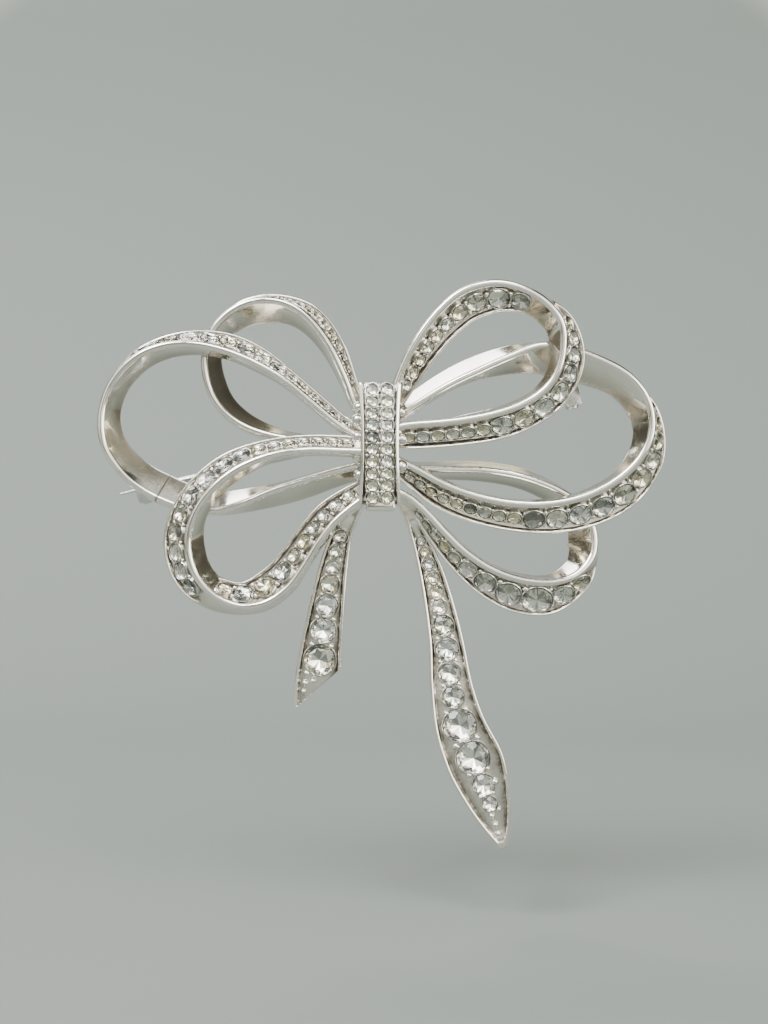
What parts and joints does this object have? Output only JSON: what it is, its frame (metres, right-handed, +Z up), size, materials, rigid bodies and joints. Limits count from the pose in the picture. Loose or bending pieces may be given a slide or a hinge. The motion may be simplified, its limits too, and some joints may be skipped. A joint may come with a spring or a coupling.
{
  "type": "brooch",
  "caption": "Ribbon-bow brooch: stone-set metal loops and tails soldered behind a domed knot, with a hinged pin and a roll-over safety catch.",
  "frame": {"origin": "on the axis of the closed pin, straight behind the middle of the knot", "axes": "+Z up as worn, +X to the right seen from the front, the front faces -Y and the pin is at the back"},
  "size_m": [0.0759, 0.0174, 0.0758],
  "materials": {
    "rhodium": "polished rhodium plate over cast white metal",
    "knot_metal": "polished rhodium plate with grain set between the stones",
    "fittings": "rhodium plate, less finely polished",
    "pin_wire": "drawn steel wire, plated",
    "rhinestone": "foil-backed cut glass, some aged to pale yellow"
  },
  "bodies": {
    "bow": {"knot_core": "knot_metal", "knot_back_strap": "knot_metal", "knot_shell": "knot_metal", "stones_knot": "rhinestone", "loop_upper_left": "rhodium", "stones_upper_left": "rhinestone", "loop_left": "rhodium", "loop_left_return": "rhodium", "stones_left": "rhinestone", "loop_lower_left": "rhodium", "stones_lower_left": "rhinestone", "loop_upper_right": "rhodium", "stones_upper_right": "rhinestone", "loop_right": "rhodium", "loop_right_return": "rhodium", "stones_right": "rhinestone", "loop_lower_right": "rhodium", "loop_lower_right_return": "rhodium", "stones_lower_right": "rhinestone", "tail_left": "rhodium", "stones_tail_left": "rhinestone", "tail_right": "rhodium", "stones_tail_right": "rhinestone", "hinge_bracket": "fittings", "hinge_rivet": "fittings", "catch_body": "fittings"},
    "pin": {"pin_stem": "pin_wire"},
    "rotor": {"catch_rotor": "fittings"}
  },
  "joints": [
    {"name": "pin_hinge", "type": "hinge", "parent": "bow", "child": "pin", "pos_m": [0.0262, 0, 0.00579], "axis": [0.2158, 0, -0.9764], "range_deg": [0, 75]},
    {"name": "catch_turn", "type": "hinge", "parent": "bow", "child": "rotor", "pos_m": [-0.0317, 0, -0.00701], "axis": [-0.9764, 0, -0.2158], "range_deg": [0, 115]}
  ]
}
